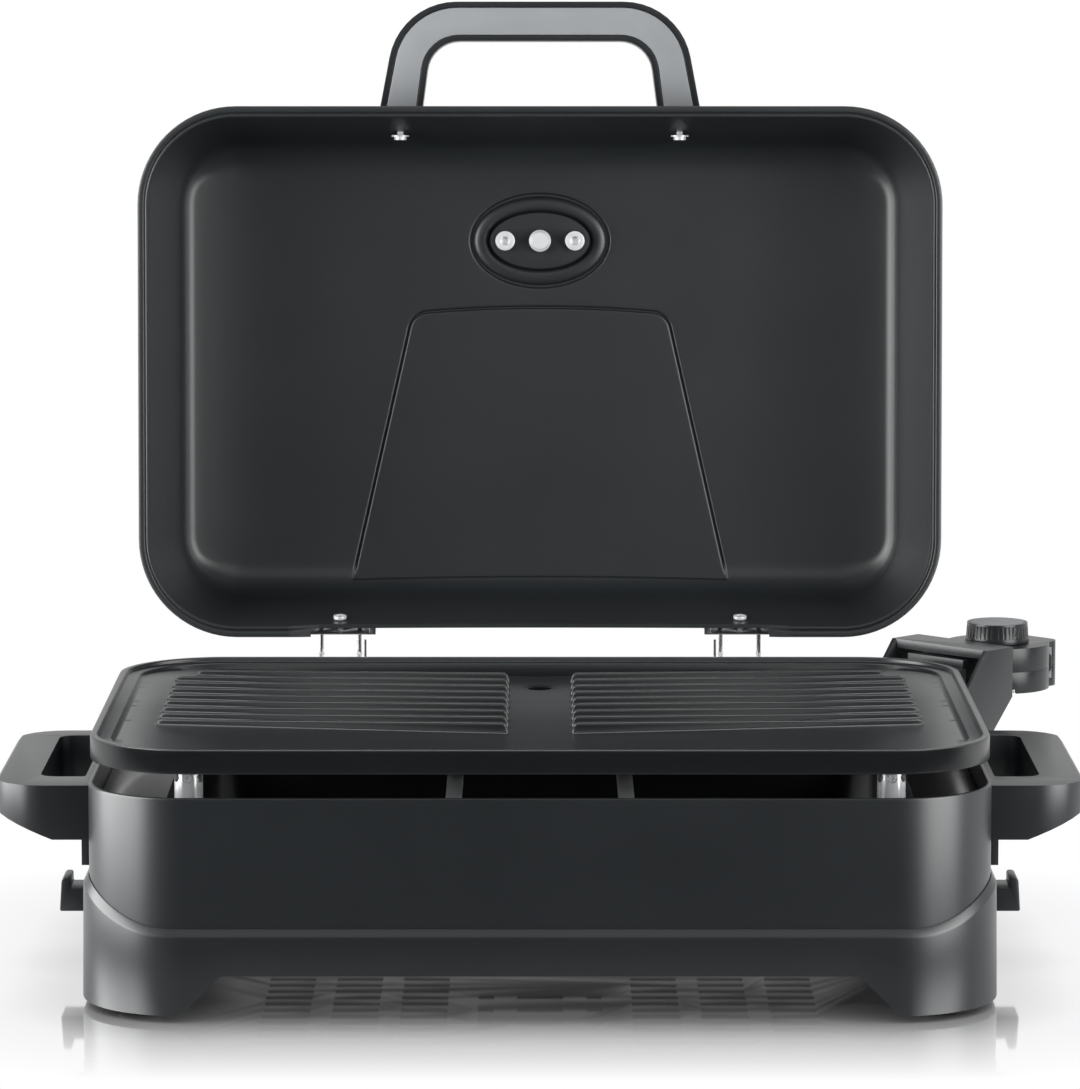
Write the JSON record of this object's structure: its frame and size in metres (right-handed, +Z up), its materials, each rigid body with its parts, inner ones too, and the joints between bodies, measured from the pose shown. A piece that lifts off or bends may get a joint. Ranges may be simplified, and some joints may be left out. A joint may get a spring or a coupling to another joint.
{
  "type": "electric indoor grill with lid",
  "caption": "Electric table grill with a ribbed cast plate over a water tray, a plug-in heat controller and a domed lid hinged at the back, shown open.",
  "frame": {"origin": "centre of the body's footprint on the table, where the rubber feet stand", "axes": "+X to the user's right, +Y from the user to the hinged back, +Z up; the lid is open at rest"},
  "size_m": [0.6255, 0.4832, 0.5454],
  "materials": {
    "housing": "satin charcoal",
    "base_black": "matt",
    "rubber": "matt",
    "plate_coating": "dark non-stick coating on a casting",
    "lid_coating": "dark satin coating",
    "handle_shell": "matt",
    "handle_face": "matt",
    "steel": "plain",
    "bright_steel": "bright",
    "strap_grey": "dull",
    "tray_enamel": "dark coating",
    "element": "dull",
    "dial": "matt",
    "pointer_black": "matt",
    "glass": "clear",
    "controller_black": "satin",
    "controller_grey": "matt",
    "switch_body": "matt",
    "brass": "plain"
  },
  "bodies": {
    "base": {"lower_housing": "housing", "upper_casing": "housing", "bottom_plate": "base_black", "rubber_feet": "rubber", "side_handle_left": "housing", "side_handle_right": "housing", "handle_screws": "bright_steel", "shelf_hook_left": "housing", "shelf_hook_right": "housing", "inner_tub": "steel", "water_tray": "tray_enamel", "tray_straps": "strap_grey", "plate_posts": "bright_steel", "post_screws": "bright_steel", "grill_plate": "plate_coating", "heating_element": "element", "element_clips": "steel", "terminal_block": "base_black", "terminal_pins": "bright_steel", "controller_guard": "housing", "guard_screws": "bright_steel", "hinge_bracket_left": "steel", "hinge_bracket_right": "steel", "hinge_pins": "bright_steel", "split_pins": "bright_steel", "hinge_screws": "bright_steel"},
    "lid": {"lid_shell": "lid_coating", "lid_handle": "handle_shell", "lid_handle_face": "handle_face", "lid_handle_screws": "bright_steel", "hinge_loop_left": "bright_steel", "hinge_loop_right": "bright_steel", "hinge_leaves": "steel", "leaf_screws": "bright_steel", "gauge_bezel": "steel", "gauge_dial": "dial", "gauge_glass": "glass", "gauge_plate": "base_black", "gauge_stem": "bright_steel", "gauge_screws": "bright_steel"},
    "pointer": {"gauge_pointer": "pointer_black"},
    "controller": {"controller_lower": "controller_black", "controller_upper": "controller_black", "controller_probe": "bright_steel", "contact_sockets": "brass", "thermostat_switch": "switch_body", "cord_gland": "controller_black", "controller_screws": "bright_steel", "grip_inlays": "controller_grey"},
    "knob": {"control_knob": "controller_black", "knob_disc": "controller_grey", "knob_shaft": "bright_steel"},
    "front_button": {"release_button_front": "controller_black"},
    "rear_button": {"release_button_rear": "controller_black"}
  },
  "joints": [
    {"name": "lid_hinge", "type": "hinge", "parent": "base", "child": "lid", "pos_m": [0, 0.183, 0.14], "axis": [1, 0, 0], "range_deg": [0, 94.3]},
    {"name": "controller_plug", "type": "slide", "parent": "base", "child": "controller", "axis": [0.7071, 0.7071, 0], "range_m": [0, 0.075]},
    {"name": "knob_turn", "type": "hinge", "parent": "controller", "child": "knob", "pos_m": [0.28068, 0.20768, 0.156], "axis": [0, 0, 1], "range_deg": [-270, 0]},
    {"name": "front_button_press", "type": "slide", "parent": "controller", "child": "front_button", "axis": [-0.7071, 0.7071, 0], "range_m": [0, 0.0015], "stiffness_N_per_m": 300, "springref_m": -0.001},
    {"name": "rear_button_press", "type": "slide", "parent": "controller", "child": "rear_button", "axis": [0.7071, -0.7071, 0], "range_m": [0, 0.0015], "stiffness_N_per_m": 300, "springref_m": -0.001},
    {"name": "pointer_turn", "type": "hinge", "parent": "lid", "child": "pointer", "pos_m": [0, 0.29626, 0.39523], "axis": [0, 0.9972, -0.075], "range_deg": [-270, 0], "stiffness_Nm_per_rad": 0.001}
  ]
}
